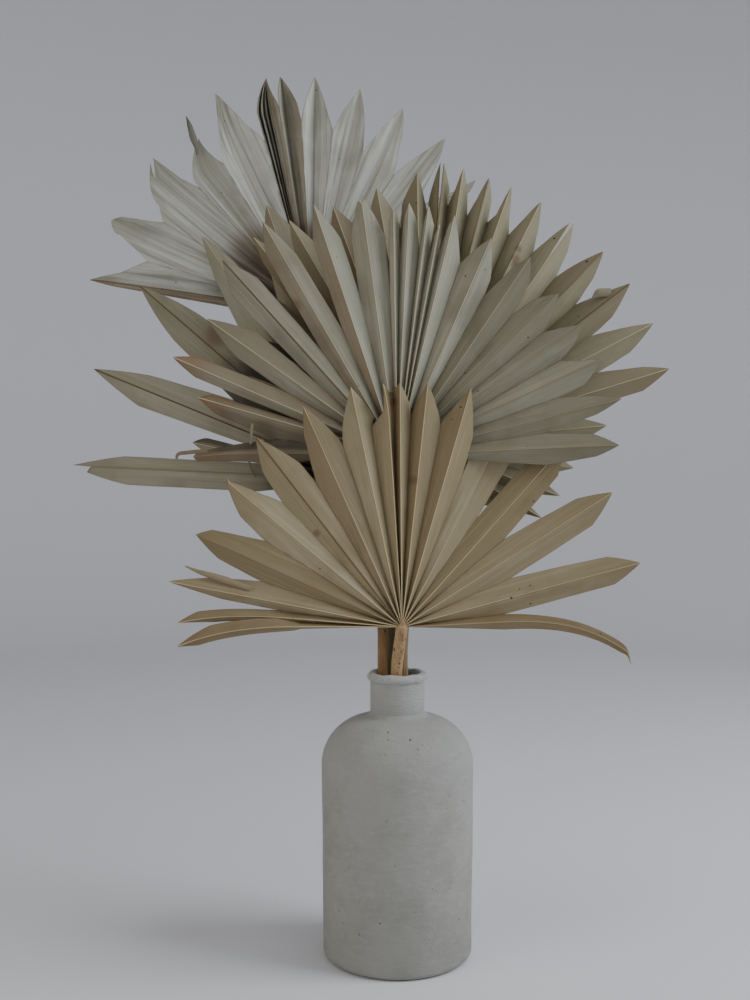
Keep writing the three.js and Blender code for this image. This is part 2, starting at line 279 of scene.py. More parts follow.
def line(start, end, steps):
    """Points between two points of the outline, without the two ends."""
    shares = [step / steps for step in range(1, steps)]
    return [(start[0] + (end[0] - start[0]) * s, start[1] + (end[1] - start[1]) * s) for s in shares]


def dome(wall, start, end, steps):
    """The curve of the shoulder, set in by the thickness of a wall."""
    radius = BODY_RADIUS - wall - SHOULDER_INNER_RADIUS
    height = SHOULDER_TOP - SHOULDER_START - wall
    return arc(SHOULDER_INNER_RADIUS, SHOULDER_START, radius, height, start, end, steps)


heel = arc(BASE_RADIUS - HEEL_RADIUS, HEEL_RADIUS, HEEL_RADIUS, HEEL_RADIUS, -90, 0, 7)
shoulder = dome(0, 0, 84, 16)
neck_foot = arc(NECK_RADIUS + NECK_FILLET, SHOULDER_TOP + NECK_FILLET, NECK_FILLET, NECK_FILLET, 250, 180, 5)
neck_top = (NECK_RADIUS, VASE_HEIGHT - LIP_HEIGHT - LIP_SEAT)
lip = arc(LIP_RADIUS - LIP_ROLL, VASE_HEIGHT - LIP_HEIGHT / 2, LIP_ROLL, LIP_HEIGHT / 2, -75, 90, 10)
mouth = arc(MOUTH_RADIUS + MOUTH_ROUNDING, VASE_HEIGHT - MOUTH_DROP, MOUTH_ROUNDING, MOUTH_DROP, 90, 180, 5)
throat = (MOUTH_RADIUS, SHOULDER_TOP - VASE_WALL + NECK_FILLET)
inner_shoulder = dome(VASE_WALL, 78, 0, 8)
inner_heel = [(BASE_RADIUS - VASE_WALL, VASE_FLOOR + HEEL_RADIUS), (BASE_RADIUS - HEEL_RADIUS, VASE_FLOOR)]
outline = [
    *heel,
    *line(heel[-1], shoulder[0], 26),
    *shoulder,
    *neck_foot,
    *line(neck_foot[-1], neck_top, 16),
    neck_top,
    *lip,
    *mouth,
    *line(mouth[-1], throat, 6),
    throat,
    *inner_shoulder,
    *line(inner_shoulder[-1], inner_heel[0], 6),
    *inner_heel,
]
lip_rings = range(outline.index(lip[0]) - 1, outline.index(mouth[-1]))
neck_rings = range(outline.index(neck_foot[0]), outline.index(lip[0]))


def clay(around, swing, height, climb, shift=(0, 0)):
    """Smooth chance between -1 and 1, faster around with a larger swing, faster up with a larger climb."""
    return noise.noise(around * swing + Vector((*shift, height * climb)))


def place_on_vase(ring, turn):
    radius, height = outline[ring]
    around = Vector((math.cos(turn), math.sin(turn), 0))
    lifted = min(height / STEADY_FOOT, 1)
    uneven = WOBBLE * lifted * clay(around, 0.9, height, 14)
    uneven += 0.4 * WOBBLE * lifted * clay(around, 4, height, 55, (5, 0))
    if ring in neck_rings:
        uneven += THROWING_MARK * math.sin(height * THROWING_PITCH + 1.2 * math.sin(turn * 2 + 1))
    droop = 0
    if ring in lip_rings:
        uneven += 1.6 * WOBBLE * clay(around, 3.1, height, 90, (2, 7))
        uneven += 0.8 * WOBBLE * clay(around, 9, height, 300, (4, 1))
        droop = LIP_DROOP * (clay(around, 2.2, height, 0, (9, 1)) - 0.4)
        droop += LIP_RIPPLE * clay(around, 7, height, 200, (3, 8))
    return Vector((around.x * (radius + uneven), around.y * (radius + uneven), height + droop))


vase = raise_rings("chalk_vase", VASE_SIDES, len(outline))
shape_rings(vase, place_on_vase)
bpy.ops.object.shade_smooth_by_angle(angle=math.radians(40))

slip = Paint("chalk_slip")
spot = slip.coordinates("Object")
grain = slip.noise(spot, 1100, 3, 0.65)
grit = slip.noise(spot, 420, 4, 0.7)
brushed = slip.noise(slip.drawn_out(spot, 2.2), 110, 4, 0.6)
blotch = slip.noise(spot, 26, 4, 0.6)
lumps = slip.noise(spot, 75, 2)
height = slip.part(spot, "Z")
rough_band = 0.3 + 0.6 * height.step(0.13, 0.2)
pits = slip.pits(spot, VASE_PITS)
ridges = slip.noise(slip.drawn_out(spot, 9), 90, 3)
crumbs = (1 - slip.from_dot(spot, 160).step(0.04, 0.2)) * slip.noise(spot, 33, 1).step(0.52, 0.62)
coats = [
    (blotch.step(0.35, 0.7), SLIP_BLOTCH),
    (brushed.step(0.45, 0.8) * 0.4, SLIP_BRUSHED),
    (grit.step(0.55, 0.75) * 0.15, SLIP_GRIT),
    (grain.step(0.55, 0.75) * 0.12, SLIP_GRAIN),
    # Painted light and shade: the upper body and neck paler, the top of the lip paler still where it faces
    # up, and the foot darker towards the floor.
    (height.step(0.11, 0.2) * 0.3 + height.step(0.205, 0.225) * 0.35, SLIP_PAINTED_UPPER_LIGHT),
    ((1 - height.step(0, 0.1)) * 0.3, SLIP_PAINTED_FOOT_SHADE),
    (height.step(0.241, 0.249) * 0.4, SLIP_PAINTED_LIP_LIGHT),
    (pits * 0.8, SLIP_PIT),
]
relief = slip.relief(
    (blotch + lumps * 0.6, 0.35, 0.0012),
    (brushed, 0.6, 0.0012),
    (ridges * (0.15 + height.step(0.2, 0.22)), 0.7, 0.0013),
    (crumbs, 0.9, 0.001),
    ((grain * 0.5 + grit) * rough_band, 1.0, 0.0013),
    (1 - pits, 0.7, 0.0006),
)
slip.give(Base_Color=slip.coated(SLIP_GREY, coats), Roughness=0.86 + 0.1 * blotch, Normal=relief)
slip.give(Specular_IOR_Level=0.25)
vase.data.materials.append(slip.material)
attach(vase, "root")
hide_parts("bottle_vase")


# Each frond stands on its own petiole, a dry oval stalk with fine ribs along it. It stands on the
# vase's floor, leans on the neck, and runs out in a narrow tongue over the hub of the leaf.
PETIOLE_SIDES = 28
PETIOLE_STEPS = 60
SEAT_GAP = 0.00035
OVAL = 0.88
TONGUE = 0.0075
TONGUE_RINGS = 12
TONGUE_FORWARD = 0.0012
TONGUE_TIP = (0.0003, 0.0004)
STALK_RIBS = ((7, 0.035), (12, 0.02))
KNOT_HEIGHT = 0.04
FRONDS = {
    "front": {
        "hub": (0.0035, -0.022, 0.292),
        "petiole": [(-0.004, -0.009), (-0.0012, -0.0144)],
        "width": 0.009,
        "top": 0.0104,
        "edges": (-1.5, 181),
    },
    "middle": {
        "hub": (-0.0005, -0.005, 0.441),
        "petiole": [(0.006, -0.0045), (0.005, -0.0034)],
        "width": 0.0086,
        "top": 0.0086,
        "edges": (-4, 184),
    },
    "right": {
        "hub": (0.020, 0.013, 0.450),
        "petiole": [(0.012, 0.008), (0.0054, 0.008)],
        "width": 0.0084,
        "top": 0.0056,
        "edges": (-37, 188),
    },
    "left": {
        "hub": (-0.030, 0.030, 0.4185),
        "petiole": [(-0.004, 0.006), (-0.013, -0.002)],
        "over": [(-0.014, 0.004, 0.300)],
        "width": 0.0086,
        "top": 0.0086,
        "edges": (-14, 186),
    },
    "top": {
        "hub": (-0.078, 0.060, 0.575),
        "petiole": [(0.004, 0.018), (-0.0058, 0.0096)],
        "over": [(-0.0065, 0.020, 0.320), (-0.034, 0.043, 0.430)],
        "width": 0.0084,
        "top": 0.008,
        "edges": (-12, 177.5),
    },
}
SHADED_PETIOLE = (0x6F6748, 0x877C58, 0x464030)
PETIOLE_COLOURS = {
    "front": (0xA5845C, 0xC4A57A, 0x7A5A3A),
    "middle": (0x8F7650, 0xA98F66, 0x5F4A30),
    "right": SHADED_PETIOLE,
    "left": (0x9A6748, 0x94854F, 0x7A4732),
    "top": SHADED_PETIOLE,
}
PETIOLE_PIT = 0x2A1F16
FRONT_PITS = (
    (0.0035, 0.2807, 0.0009),
    (0.0017, 0.2645, 0.0009),
    (0.0014, 0.2597, 0.0011),
    (0.0010, 0.2562, 0.0009),
    (0.0030, 0.2700, 0.0006),
)


def through(points, share):
    """A smooth route through points: the place at a share of its way, and the direction there."""
    gaps = [(b - a).length ** 0.5 for a, b in zip(points, points[1:])]
    knots = [0.0]
    for gap in gaps:
        knots.append(knots[-1] + gap)
    at = share * knots[-1]
    k = min(max(sum(knot <= at for knot in knots) - 1, 0), len(gaps) - 1)

    def slope(i):
        if i in (0, len(points) - 1):
            j = min(i, len(points) - 2)
            return (points[j + 1] - points[j]) / gaps[j]
        before = (points[i] - points[i - 1]) / gaps[i - 1]
        after = (points[i + 1] - points[i]) / gaps[i]
        return (before * gaps[i] + after * gaps[i - 1]) / (gaps[i] + gaps[i - 1])

    t = (at - knots[k]) / gaps[k]
    start, end = slope(k) * gaps[k], slope(k + 1) * gaps[k]
    square, cube = t * t, t * t * t
    place = points[k] * (2 * cube - 3 * square + 1) + start * (cube - 2 * square + t)
    place += points[k + 1] * (3 * square - 2 * cube) + end * (cube - square)
    way = points[k] * (6 * square - 6 * t) + start * (3 * square - 4 * t + 1)
    way += points[k + 1] * (6 * t - 6 * square) + end * (3 * square - 2 * t)
    return place, way.normalized()


def petiole(name, frond):
    """A ribbed oval stalk from the vase's floor to its leaf, with the tongue over the hub."""
    foot, neck = (Vector(p) for p in frond["petiole"])
    hub = Vector(frond["hub"])
    tilt = (neck - foot).length / (VASE_HEIGHT - VASE_FLOOR)
    start = Vector((*foot, VASE_FLOOR + SEAT_GAP + frond["width"] / 2 * tilt))
    leaning = Vector((*neck, VASE_HEIGHT))
    bends = [Vector(p) for p in frond.get("over", [])]
    points = [start, (start + leaning) / 2, leaning, *bends, hub]
    length = sum((b - a).length for a, b in zip(points, points[1:]))
    rings = []
    for ring in range(PETIOLE_STEPS + 1):
        share = ring / PETIOLE_STEPS
        centre, way = through(points, share)
        width = frond["width"] + (frond["top"] - frond["width"]) * share
        rings.append((centre, way, width / 2, frond["width"] * OVAL / 2))
    up = rings[-1][1]
    for ring in range(1, TONGUE_RINGS + 1):
        share = ring / TONGUE_RINGS
        centre = hub + up * TONGUE * share + Vector((0, -TONGUE_FORWARD * share, 0))
        narrow = (1 - share) ** 0.7 * (1 - 0.45 * min(share * 4, 1))
        half_width = frond["top"] / 2 * narrow + TONGUE_TIP[0]
        half_depth = frond["width"] * 0.36 * narrow + TONGUE_TIP[1]
        rings.append((centre, up, half_width, half_depth))
    piece = raise_rings(f"{name}_petiole", PETIOLE_SIDES, len(rings))
    seed = 10 * list(FRONDS).index(name)

    def place_on_petiole(ring, turn):
        centre, way, half_width, half_depth = rings[ring]
        side = (Vector((1, 0, 0)) - way * way.x).normalized()
        front = side.cross(way)
        ribbing = 1
        for count, depth in STALK_RIBS:
            ribbing += depth * math.sin(turn * count + seed)
        knots = noise.noise(Vector((math.cos(turn), math.sin(turn), ring * length * 0.4 + seed)))
        ribbing += KNOT_HEIGHT * knots
        out = side * math.cos(turn) * half_width + front * math.sin(turn) * half_depth
        return centre + out * ribbing

    shape_rings(piece, place_on_petiole)
    # The rings turn the other way round on the stalk than in the raised piece.
    piece.data.flip_normals()
    bpy.ops.object.shade_smooth_by_angle(angle=math.radians(50))
    return piece


def petiole_finish(name):
    """Dry stalk: long pale and dark fibres, olive and red-brown patches, and a few dark pits."""
    body, pale, dark = PETIOLE_COLOURS[name]
    paint = Paint(f"{name}_petiole_bark")
    spot = paint.coordinates("Object")
    fibres = paint.noise(paint.drawn_out(spot, 0.04), 1500, 3, 0.6)
    patches = paint.noise(paint.drawn_out(spot, 0.3), 120, 3)
    pits = 1 - paint.from_dot(paint.drawn_out(spot, 0.5), 210).step(0.1, 0.22)
    pits = pits * paint.noise(spot, 90, 1).step(0.52, 0.6)
    if name == "front":
        pits = pits + paint.pits(spot, FRONT_PITS)
    coats = [
        (fibres.step(0.35, 0.7), pale),
        (patches.step(0.5, 0.75) * 0.8, dark),
        (pits * 0.85, PETIOLE_PIT),
    ]
    relief = paint.relief((fibres, 0.5, 0.0004), (1 - pits, 0.8, 0.0006))
    paint.give(Base_Color=paint.coated(body, coats), Roughness=0.55 + 0.25 * fibres, Normal=relief)
    return paint.material


for name, frond in FRONDS.items():
    stalk = petiole(name, frond)
    stalk.data.materials.append(petiole_finish(name))
    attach(stalk, "root")
    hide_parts(f"{name}_stem")


# A leaf is one pleated fan. Every blade of it is a folded strip with a pale rib along its front,
# fused to its neighbours near the hub and free beyond, and its tip was cut to a point with two
# straight cuts before the leaf was dried flat in the sun.
LEAF_SHEET = 0.0005
PLEAT_SLOPE = 0.105
FLATTEST_PLEAT = 0.03
STEEPEST_PLEAT = 0.062
BLADE_TAPER = 0.24
TAPER_REACH = 0.05
LEAST_TAPER = 0.3
RAGGED_CUT = 0.006
SHORTEST_EDGE = 0.002
BEND_POWER = 1.6
CUP_REACH = 0.2
TWIST_SPREAD = 5
HUB_FOLD = 0.0016
HUB_FOLD_REACH = 0.028
RIB_HEIGHT = 0.0002
RIB_HALF = 0.0003
RIB_GROWN = 0.02
CROWN = 0.05
CROWN_SPREAD = 0.07
CROWN_GROWN = 0.06
GROOVE_TURN = 11
GROOVE_FADING = 0.05
EDGE_RIPPLE = 0.03
EDGE_BULGE = 0.048
TIP_FULLNESS = 1.6
STEEP_FROM = 0.3
WIDEST_FOLD = 1.15
TIGHT_FOLDS = 3
TIGHT_GROWN = 0.1
TIGHT_HALF = 0.006
HUB_SHADE = 0.05
FOLD_SHADE = (0.185, 0.155)
STRIP_CROWN = 0.35
INNERMOST = 0.02
ROW_CROWDING = 1.3
FUSED_ROWS = 24
FREE_ROWS = 22
TIP_ROWS = 14
STRIP_ROWS = 20
STRIP_COLUMNS = 4
COLUMNS = (0, 0.008, 0.02, 0.045, 0.1, 0.2, 0.32, 0.44, 0.56, 0.68, 0.8, 0.91, 1)
EVEN_COLUMNS = tuple(k / 24 for k in range(25))
LOOSE_SEED = 1000
MAP_SCALE = 10
MAP_RIB = 0.5
FACTS = ("tone", "own", "rim", "reach", "burn", "stain", "rib", "vein", "deep")


def blade(angle, length, split, right=None, left=None, **form):
    """One blade: its angle in degrees, its length in metres, and the share of that length at which
    it parts from the next one, or the last one from the leaf's outer edge. Its right and left edges
    turn in towards the tip at a shoulder, written as the millimetres from the tip back to the
    shoulder and from the rib out to it. What else sets it apart from a flat regular blade follows."""
    plain = {
        "width": 1,
        "droop": 0,
        "bend": 0,
        "twist": None,
        "edge": None,
        "round": (0.15, 0.15),
        "steep": 1,
        "flare": 1,
        "tight": (0, 0),
        "dark": (0, 0),
        "gloom": None,
        "vein": 0,
        "tone": None,
        "hook": (0, 0),
        "slit": 0,
        "tips": ((0, 0), (0, 0)),
        "burn": 0,
        "stain": (0, 0),
    }
    return {"angle": angle, "length": length, "split": split, "shoulders": (right, left), **plain, **form}


FRONT_BLADES = [
    blade(
        3.2, 0.1975, 0.45, (12, 4.2), (12, 4.4), width=0.46, droop=-9.8, hook=(6, -8), twist=8,
        round=(0.6, 0.6), steep=0.4, burn=0.4, stain=(0.6, 0.6), vein=0.4, tone=-0.9,
    ),
    blade(15.5, 0.211, 0.49, (25.3, 12.6), (25.6, 11.9), stain=(0.15, 0), tone=-0.3),
    blade(33, 0.214, 0.55, (29, 15.1), (28.4, 11.3), tone=-0.3),
    blade(48, 0.212, 0.63, (24.3, 13.6), (29, 13.6), bend=-0.021, tone=-0.9),
    blade(62, 0.182, 0.76, (12, 17.3), (17, 17.3), bend=-0.030, tone=0),
    blade(74, 0.214, 0.82, (38.3, 14), (36.1, 15.9), stain=(0, 0.6), tone=-0.6),
    blade(84, 0.211, 0.86, (28, 13.4), (27.1, 10.6), stain=(0, 0.85), tone=-0.4),
    blade(
        90.5, 0.210, 0.72, (17.4, 8.2), (6.9, 6.8), width=0.8, edge=92.6, stain=(0.1, 1), dark=(0, 0.32),
        tone=0.1,
    ),
    blade(
        93.6, 0.210, 0.83, (12.1, 7.8), (23.2, 3.6), width=0.7, droop=0.9, edge=98.8, stain=(0.9, 0.4),
        dark=(0.22, 0), tone=0.2,
    ),
    blade(102, 0.211, 0.79, (28.5, 14.1), (32.2, 14.5), tone=0.2),
    blade(114, 0.208, 0.7, (36.4, 15.9), (23, 9.8), stain=(0, 0.45), tone=-0.6),
    blade(127.5, 0.206, 0.76, (40, 16.3), (28.6, 14.1), vein=1),
    blade(140, 0.197, 0.72, (30.5, 10.3), (28.6, 16), hook=(5, -2.5), burn=0.5, stain=(0, 0.25), tone=0.6),
    blade(155.5, 0.194, 0.66, (11, 9.3), (25.4, 11.4), burn=0.2, stain=(0.1, 0.2), vein=0.6, tone=-1.2),
    blade(168.5, 0.204, 0.5, (36.1, 9.7), (46.9, 6.8), burn=0.4),
    blade(
        175.3, 0.193, 0.46, (17, 6.5), (32, 4), width=0.6, droop=3.4, bend=-0.005, twist=6, burn=0.4,
        steep=0.4, flare=0.3, stain=(0.3, 0.3), tone=-0.4,
    ),
    blade(
        179.3, 0.192, 0.46, (28, 8.5), (17.7, 5.5), width=0.6, droop=5, bend=0.006, twist=-6, burn=0.4,
        steep=0.4, flare=0.25, stain=(0.3, 0.3), tone=-1.3,
    ),
]
MIDDLE_BLADES = [
    blade(2.5, 0.188, 0.68, (19.3, 9), (18.5, 10.2), bend=0.026, tone=-1.2, vein=0.5),
    blade(14, 0.199, 0.76, (24, 8), (22.8, 8.5), bend=0.008, tone=-1.1, vein=0.45),
    blade(25, 0.195, 0.84, (20.9, 13.9), (19.5, 7.8), tone=-0.1, vein=0.5),
    blade(35, 0.195, 0.85, (15.5, 10.6), (15.1, 8.3), tone=-0.7, vein=0.45),
    blade(45, 0.197, 0.8, (19, 11.3), (18.4, 11.6), tone=-0.9, vein=0.4),
    blade(56, 0.206, 0.77, (18.5, 12.3), (16.2, 7.7), tone=-1.3, vein=0.3),
    blade(66.5, 0.204, 0.86, (30.4, 13.5), (16, 10), stain=(0, 0.3), tone=0.3),
    blade(76.5, 0.212, 0.86, (19.4, 8.6), (12.1, 3.6), width=0.9, edge=78.5, tone=1),
    blade(79.6, 0.202, 0.8, (12, 3.4), (10, 2.2), width=0.5, edge=81.1, tone=1.4),
    blade(82.8, 0.216, 0.83, (14.1, 6.9), (12.5, 2), width=0.7, edge=83.8, dark=(0.1, 0.25), tone=1.3),
    blade(87.3, 0.217, 0.78, (12.7, 7), (13.2, 4), edge=89.35, tone=1.2),
    blade(90.9, 0.211, 0.64, (2.5, 4), (7.3, 4), edge=92.6, stain=(0, 0.1), tone=1.4),
    blade(
        98, 0.222, 0.64, (32.8, 16.3), (28.6, 13.1), slit=3, tips=((0, 2.5), (0, 3)), stain=(0, 0.3),
        dark=(0, 0.35), tone=0.3,
    ),
    blade(
        108.5, 0.227, 0.52, (33.2, 13.1), (27.3, 10.3), edge=113.6, stain=(0, 1), dark=(0, 0.14), tone=0.7,
    ),
    blade(120, 0.233, 0.49, (38.6, 11.1), (25.5, 11.6), stain=(0.3, 0.8), dark=(0, 0.3), tone=0.2),
    blade(132, 0.226, 0.45, (30.3, 12.4), (28.6, 14.3), vein=1, dark=(0.1, 0.3), tone=-0.5),
    blade(144.5, 0.203, 0.55, (40.1, 15.7), (38.8, 12), burn=0.2, stain=(0.5, 0.1), tone=-0.7),
    blade(156.5, 0.212, 0.46, (19, 8.5), (24, 8.3), burn=1, stain=(0.8, 0.2), tone=-0.3),
    blade(164, 0.180, 0.6, (9.9, 5.6), (19.8, 9.8), width=0.7, burn=1, stain=(0.9, 0.9), dark=(0, 0.4)),
    blade(
        179.5, 0.178, 0.6, (9, 4.4), (5, 4.6), width=0.55, droop=1, burn=1, stain=(0.8, 0.9), steep=2.6,
        bend=-0.003, vein=0.6, round=(0.5, 0.8), dark=(0.6, 0), tone=-0.3,
    ),
]
RIGHT_BLADES = [
    blade(-31, 0.127, 0.7, width=0.8),
    blade(-20, 0.133, 0.72, width=0.8),
    blade(-8.5, 0.139, 0.75, width=0.8),
    blade(6, 0.168, 0.7),
    blade(17, 0.2335, 0.74, (27.6, 11.8), (22.3, 8.6), burn=0.35, stain=(0.5, 0.4), tone=-0.7),
    blade(27.5, 0.235, 0.78, (28.8, 13.1), (28.8, 10), stain=(0.2, 0.1)),
    blade(37.5, 0.236, 0.8, (29, 13.9), (30.8, 10), burn=0.2, stain=(0.2, 0.2), vein=0.9),
    blade(46.5, 0.237, 0.82, (20.9, 9.7), (25.4, 10.6), burn=0.3, stain=(0.1, 0.4), vein=0.6),
    blade(
        55.5, 0.239, 0.84, (20.3, 10.6), (26.1, 10.4), slit=42, tips=((0, 1.2), (1, 1.6)), stain=(0, 0.1),
        tone=0.6,
    ),
    blade(63.5, 0.241, 0.85, (19.3, 8.1), (18.1, 6.4), burn=0.1, stain=(0, 0.2), tone=0.3),
    blade(70.5, 0.243, 0.86, (23.2, 7), (26.6, 4), stain=(0, 0.2), tone=0.3),
    blade(75.5, 0.244, 0.86, (15.2, 7.3), (17.4, 5), stain=(0, 0.25), vein=0.7, tone=0.2),
    blade(81, 0.248, 0.87, (17.3, 6.5), (17.2, 3.9), stain=(0, 0.35), tone=0.2),
    blade(
        85.5, 0.250, 0.86, (19.1, 8.9), (27.6, 8.3), slit=56, tips=((0, 1.6), (0, 1.6)), stain=(0, 0.4),
        vein=1,
    ),
    blade(90.5, 0.241, 0.84, stain=(0.1, 0.5)),
    blade(99.5, 0.231, 0.8, stain=(0.2, 0.5)),
    blade(110, 0.225, 0.72, stain=(0.9, 0.9)),
    blade(120.2, 0.231, 0.7, stain=(0.4, 0.7)),
    blade(128.7, 0.2365, 0.7, stain=(0.4, 0.7), tone=-0.5),
    blade(136.5, 0.205, 0.68, stain=(0.4, 0.3), tone=-0.3),
    blade(147, 0.175, 0.64, stain=(0.6, 0.7), dark=(3, 3)),
    blade(158, 0.165, 0.6, stain=(0.6, 0.7), dark=(3, 3)),
    blade(169.5, 0.160, 0.6, stain=(0.6, 0.7), dark=(3, 3)),
    blade(181.5, 0.155, 0.6, stain=(0.6, 0.7), dark=(3, 3)),
]
LEFT_BLADES = [
    blade(-6, 0.150, 0.6),
    blade(7, 0.165, 0.62),
    blade(19, 0.175, 0.64),
    blade(31, 0.185, 0.68),
    blade(43, 0.195, 0.72),
    blade(55, 0.205, 0.76),
    blade(68, 0.215, 0.8),
    blade(81, 0.225, 0.8),
    blade(95, 0.242, 0.76),
    blade(109.5, 0.266, 0.62, stain=(0.2, 0.6), gloom=0.19),
    blade(123.5, 0.268, 0.58, (38, 12), (42.7, 12.3), gloom=0.18),
    blade(139, 0.272, 0.52, (60.1, 16), (57.8, 17.2), round=(0.3, 0.3), vein=1, gloom=0.185),
    blade(157.5, 0.2685, 0.45, (50.7, 14.2), (51.3, 15.6), vein=1, tone=0.5),
    blade(
        167.5, 0.160, 0.6, (14, 7), (14, 6), width=0.5, bend=-0.006, burn=0.5, round=(0.7, 0.15),
        dark=(0.55, 0), tone=0.6,
    ),
    blade(177, 0.2665, 0.36, (46, 11), (51.2, 15), slit=16, tips=((0, 0.6), (13, 5.5)), vein=0.5, tone=0.5),
]
TOP_BLADES = [
    blade(-6, 0.150, 0.6),
    blade(6, 0.158, 0.62),
    blade(18, 0.165, 0.64),
    blade(29, 0.172, 0.66),
    blade(39.5, 0.198, 0.68, (13.1, 5.7), (20, 3), width=0.8, tone=0.5),
    blade(53, 0.206, 0.72, (30.4, 10.2), (41.4, 12.3), round=(0.3, 0.1), tone=0.9),
    blade(
        65.6, 0.2105, 0.74, (32.2, 9.4), (35.5, 13.8), droop=0.8, edge=72.5, round=(0.35, 0.25), tone=0.8,
    ),
    blade(78.2, 0.216, 0.78, (37, 12.1), (29, 11.2), edge=83.5, round=(0.25, 0.1), tone=0.5),
    blade(
        89.6, 0.2235, 0.79, (38.1, 12.8), (33.5, 9.3), edge=93.3, round=(0.2, 0.15), dark=(0, 0.12),
        tone=0.55,
    ),
    blade(
        97.9, 0.226, 0.84, (30.8, 12.3), (20.7, 3.9), edge=99.2, round=(0.2, 0.2), stain=(0.5, 0),
        tone=-0.4,
    ),
    blade(
        101.9, 0.227, 0.73, (30, 8), (35.5, 12.1), droop=-0.7, edge=105.5, round=(-0.2, 0.35),
        tight=(0, 0.006), stain=(0.5, 0.2), burn=0.3, tone=-0.2,
    ),
    blade(
        115.4, 0.2265, 0.82, (41.4, 18.5), (59.6, 12.9), droop=-1.6, edge=121, round=(0.15, -0.12),
        hook=(5, 1.8), tone=1.5,
    ),
    blade(
        128.5, 0.1965, 0.79, (24.5, 16.2), (30, 9.6), droop=-5.4, edge=132.3, round=(0.2, -0.1),
        gloom=0.115, tone=-0.2,
    ),
    blade(
        139.6, 0.2075, 0.78, (33, 15.3), (33.7, 16.8), edge=149, slit=14, tips=((0, 13.4), (0.5, -8)),
        round=(0.05, 0.85), gloom=0.12, tone=0.1,
    ),
    blade(
        155.2, 0.2085, 0.77, (10, 7.3), (14.1, 9.2), edge=163, round=(0.3, 0.9), flare=0.85, burn=0.2,
        gloom=0.125, tone=0.4,
    ),
    blade(
        171.3, 0.2115, 0.356, (28, 9.5), (32.5, 4.2), hook=(14, 0.6), round=(0.1, 0.5), stain=(0, 1),
        vein=1, burn=0.25, gloom=0.125, tone=0.5,
    ),
]
PLAIN_LEAF = {"fold": 1, "grooves": 0.00012, "streaks": 0.6, "furrows": 42}
LEAVES = {
    "front": {
        "blades": FRONT_BLADES,
        **PLAIN_LEAF, "seed": 11, "lean": 0, "cup": 0.008, "cut": 0.028, "gloom": 0.03, "dimness": 0.1,
        "shreds": [
            (
                [(-186, 53.5, 2, 0.3), (-174, 48.5, 2.4, 2), (-160, 44, 2.8, 3), (-130, 34, 2.4, 2.4)],
                0.3,
                0,
            ),
        ],
        "specks": [
            (0.0975, 0.3175, 0.0011), (0.1142, 0.3125, 0.0008), (0.1180, 0.4005, 0.0008),
            (0.0538, 0.4815, 0.0009), (-0.0672, 0.3425, 0.0007), (-0.0073, 0.3202, 0.0006),
            (0.0465, 0.4710, 0.0006), (0.0432, 0.4325, 0.0005),
        ],
        "smudges_and_shadows": [(0.0130, 0.4190, 0.0065), (-0.0036, 0.4860, 0.006), (-0.0700, 0.3730, 0.005)],
    },
    "middle": {
        "blades": MIDDLE_BLADES,
        **PLAIN_LEAF, "seed": 23, "lean": -1, "cup": 0.004, "cut": 0.030, "gloom": 0.06, "dimness": 0.3,
        "shreds": [
            ([(-126, 27, 7, 1.2), (-126.6, 18, 7.5, 1.3), (-127.2, 8.5, 8, 1.1)], 0.6, 0),
            (
                [(-192, -3.5, 3, 1), (-190.5, 0.4, 3.4, 1.5), (-181, 2, 4, 1.7), (-165, 3.4, 4.4, 1.7)],
                1,
                0.1,
            ),
        ],
        "specks": [(-0.1275, 0.4492, 0.0012), (0.1135, 0.5430, 0.0008), (0.0700, 0.4965, 0.0007)],
        "smudges_and_shadows": [(-0.0900, 0.5700, 0.010)],
    },
    "right": {
        "blades": RIGHT_BLADES,
        **PLAIN_LEAF, "seed": 37, "lean": 2, "cup": -0.007, "cut": 0.030, "gloom": 0.1, "dimness": 0.5,
        "shreds": [
            (
                [(153.6, 130.6, 5, 0.6), (159.8, 135.4, 5, 3.7), (165, 135.7, 5, 3.7), (170.6, 136, 5, 3.6)],
                0.3,
                0.3,
            ),
        ],
        "specks": [(0.1400, 0.6340, 0.0010), (0.1690, 0.6135, 0.0012)],
        "smudges_and_shadows": [(0.1050, 0.6090, 0.006), (0.1055, 0.6150, 0.007), (0.1075, 0.6240, 0.005)],
    },
    "left": {
        "blades": LEFT_BLADES,
        **PLAIN_LEAF, "seed": 41, "lean": 3.5, "cup": -0.010, "cut": 0.036, "gloom": 0.1, "dimness": 1.05,
        "furrows": 36,
        "shreds": [([(-103.5, 16.5, 4, 0.9), (-101, 9, 4.4, 0.8), (-97.5, 2.5, 4.4, 0.4)], 0.5, 0)],
        "specks": [(-0.2485, 0.5330, 0.0012), (-0.2000, 0.5930, 0.0007), (-0.2030, 0.5865, 0.0006)],
        "smudges_and_shadows": [(-0.1650, 0.5500, 0.016)],
    },
    "top": {
        "blades": TOP_BLADES,
        "fold": -1, "seed": 53, "lean": 4, "cup": -0.007, "cut": 0.036, "grooves": 0.0009, "gloom": 0.095,
        "dimness": 0.45, "streaks": 1.6, "furrows": 27,
        "shreds": [
            (
                [
                    (-106.9, 146, 4, 1), (-108.1, 153.4, 4.4, 2.2), (-110.6, 160.8, 4.8, 3.2),
                    (-114.6, 173.9, 4.8, 2.2), (-117.6, 182, 4.6, 0.3),
                ],
                0.4,
                0.5,
            ),
        ],
        "specks": [],
        "smudges_and_shadows": [(-0.1350, 0.6300, 0.030), (-0.1180, 0.6050, 0.035), (-0.0850, 0.6400, 0.024)],
    },
}


def seeded_spread(seed):
    """A repeatable run of numbers between -1 and 1."""
    factor, size = 16807, 2147483647
    state = seed
    while True:
        state = state * factor % size
        yield 2 * state / size - 1


def ramp(value, start, end):
    """0 at start and before it, 1 at end and beyond it, and straight in between."""
    return min(max((value - start) / (end - start), 0), 1)


